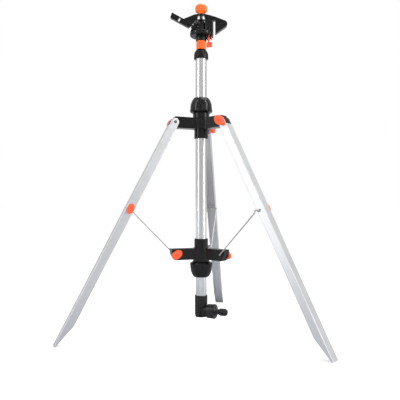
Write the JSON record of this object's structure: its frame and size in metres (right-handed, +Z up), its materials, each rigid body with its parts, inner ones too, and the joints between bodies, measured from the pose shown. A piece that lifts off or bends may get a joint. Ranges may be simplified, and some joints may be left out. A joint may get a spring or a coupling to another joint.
{
  "type": "impulse sprinkler on tripod",
  "caption": "Impulse lawn sprinkler on a folding aluminium tripod, with a hinged hammer arm, stop collars, clamped hubs, wire stays and a hose elbow.",
  "frame": {"origin": "on the ground under the mast's axis", "axes": "+Z up along the mast, +Y towards the rear leg, +X to the right as seen from the two front legs"},
  "size_m": [0.558, 0.4836, 0.7337],
  "materials": {
    "aluminium": "matte anodised",
    "mast_aluminium": "bright anodised",
    "black_plastic": "moulded, semi-gloss",
    "orange_plastic": "moulded, semi-gloss",
    "red_plastic": "moulded, semi-gloss",
    "steel": "drawn wire",
    "rubber": "matt"
  },
  "bodies": {
    "lower_hub": {"lower_hub": "black_plastic", "stay_hub_pins": "steel", "stay_hub_caps": "red_plastic"},
    "lower_nut": {"lower_nut": "black_plastic"},
    "lower_collet": {"lower_collet": "black_plastic"},
    "mast": {"mast_tube": "mast_aluminium", "elbow": "black_plastic", "mast_adapter": "black_plastic", "adapter_seal": "rubber", "base_nut": "black_plastic", "bearing_washers": "black_plastic"},
    "hose_connector": {"hose_connector": "black_plastic", "connector_washer": "rubber", "nipple_o_ring": "rubber"},
    "lower_stop_collar": {"lower_stop_collar": "orange_plastic"},
    "upper_stop_collar": {"upper_stop_collar": "orange_plastic"},
    "head": {"head_body": "black_plastic", "nozzle": "black_plastic", "nozzle_nut": "black_plastic", "fulcrum_pin": "steel", "arm_spring": "steel", "top_cap": "orange_plastic", "bearing_stem": "black_plastic", "bearing_spring": "steel", "trip_spring": "steel"},
    "hammer_arm": {"hammer_arm": "black_plastic"},
    "trip_lever": {"trip_lever": "red_plastic"},
    "upper_hub": {"upper_hub": "black_plastic", "upper_collet": "black_plastic", "leg_pivot_pins": "red_plastic"},
    "upper_nut": {"upper_nut": "black_plastic"},
    "leg_right": {"leg_right": "aluminium"},
    "leg_left": {"leg_left": "aluminium"},
    "leg_rear": {"leg_rear": "aluminium"},
    "strut_right": {"strut_right": "steel", "strut_cap_right": "red_plastic"},
    "strut_left": {"strut_left": "steel", "strut_cap_left": "red_plastic"},
    "strut_rear": {"strut_rear": "steel", "strut_cap_rear": "red_plastic"}
  },
  "joints": [
    {"name": "fold", "type": "slide", "parent": "lower_hub", "child": "upper_hub", "axis": [0, 0, 1], "range_m": [0, 0.06472]},
    {"name": "mast_turn", "type": "hinge", "parent": "lower_hub", "child": "lower_collet", "pos_m": [0, 0, 0.135], "axis": [0, 0, 1], "continuous": true},
    {"name": "mast_slide", "type": "slide", "parent": "lower_collet", "child": "mast", "axis": [0, 0, 1], "range_m": [-0.02, 0.038]},
    {"name": "lower_nut_turn", "type": "hinge", "parent": "lower_hub", "child": "lower_nut", "pos_m": [0, 0, 0.14], "axis": [0, 0, 1], "range_deg": [0, 270]},
    {"name": "upper_nut_turn", "type": "hinge", "parent": "upper_hub", "child": "upper_nut", "pos_m": [0, 0, 0.5], "axis": [0, 0, 1], "range_deg": [0, 270]},
    {"name": "hose_connector_turn", "type": "hinge", "parent": "mast", "child": "hose_connector", "pos_m": [0.02934, -0.00624, 0.0473], "axis": [0.9781, -0.2079, 0], "range_deg": [0, 270]},
    {"name": "lower_collar_turn", "type": "hinge", "parent": "mast", "child": "lower_stop_collar", "pos_m": [0, 0, 0.635], "axis": [0, 0, 1], "range_deg": [-55, 0]},
    {"name": "upper_collar_turn", "type": "hinge", "parent": "mast", "child": "upper_stop_collar", "pos_m": [0, 0, 0.644], "axis": [0, 0, 1], "range_deg": [0, 190]},
    {"name": "head_swivel", "type": "hinge", "parent": "mast", "child": "head", "pos_m": [0, 0, 0.66], "axis": [0, 0, 1], "range_deg": [-221, 81]},
    {"name": "hammer_swing", "type": "hinge", "parent": "head", "child": "hammer_arm", "pos_m": [0, 0, 0.7], "axis": [0, 0, 1], "range_deg": [0, 80], "stiffness_Nm_per_rad": 0.01},
    {"name": "trip_tilt", "type": "hinge", "parent": "head", "child": "trip_lever", "pos_m": [0.01889, -0.00345, 0.6543], "axis": [-0.9837, 0.1797, 0], "range_deg": [-12, 12]},
    {"name": "leg_right_fold", "type": "hinge", "parent": "upper_hub", "child": "leg_right", "pos_m": [0.05491, -0.0317, 0.4635], "axis": [0.5, 0.866, 0], "range_deg": [0, 22.72]},
    {"name": "leg_left_fold", "type": "hinge", "parent": "upper_hub", "child": "leg_left", "pos_m": [-0.05491, -0.0317, 0.4635], "axis": [0.5, -0.866, 0], "range_deg": [0, 22.72]},
    {"name": "leg_rear_fold", "type": "hinge", "parent": "upper_hub", "child": "leg_rear", "pos_m": [0, 0.0634, 0.4635], "axis": [-1, 0, 0], "range_deg": [0, 22.72]},
    {"name": "strut_right_fold", "type": "hinge", "parent": "leg_right", "child": "strut_right", "pos_m": [0.14065, -0.08121, 0.27491], "axis": [0.5, 0.866, 0], "range_deg": [-59.59, 0]},
    {"name": "strut_left_fold", "type": "hinge", "parent": "leg_left", "child": "strut_left", "pos_m": [-0.14065, -0.08121, 0.27491], "axis": [0.5, -0.866, 0], "range_deg": [-59.59, 0]},
    {"name": "strut_rear_fold", "type": "hinge", "parent": "leg_rear", "child": "strut_rear", "pos_m": [0, 0.16241, 0.27491], "axis": [-1, 0, 0], "range_deg": [-59.59, 0]}
  ],
  "couplings": [
    {"joint": "leg_right_fold", "follows": "fold", "rad_per_m": 6.1211},
    {"joint": "leg_left_fold", "follows": "fold", "rad_per_m": 6.1211},
    {"joint": "leg_rear_fold", "follows": "fold", "rad_per_m": 6.1211},
    {"joint": "strut_right_fold", "follows": "fold", "rad_per_m": -16.063},
    {"joint": "strut_left_fold", "follows": "fold", "rad_per_m": -16.063},
    {"joint": "strut_rear_fold", "follows": "fold", "rad_per_m": -16.063}
  ]
}
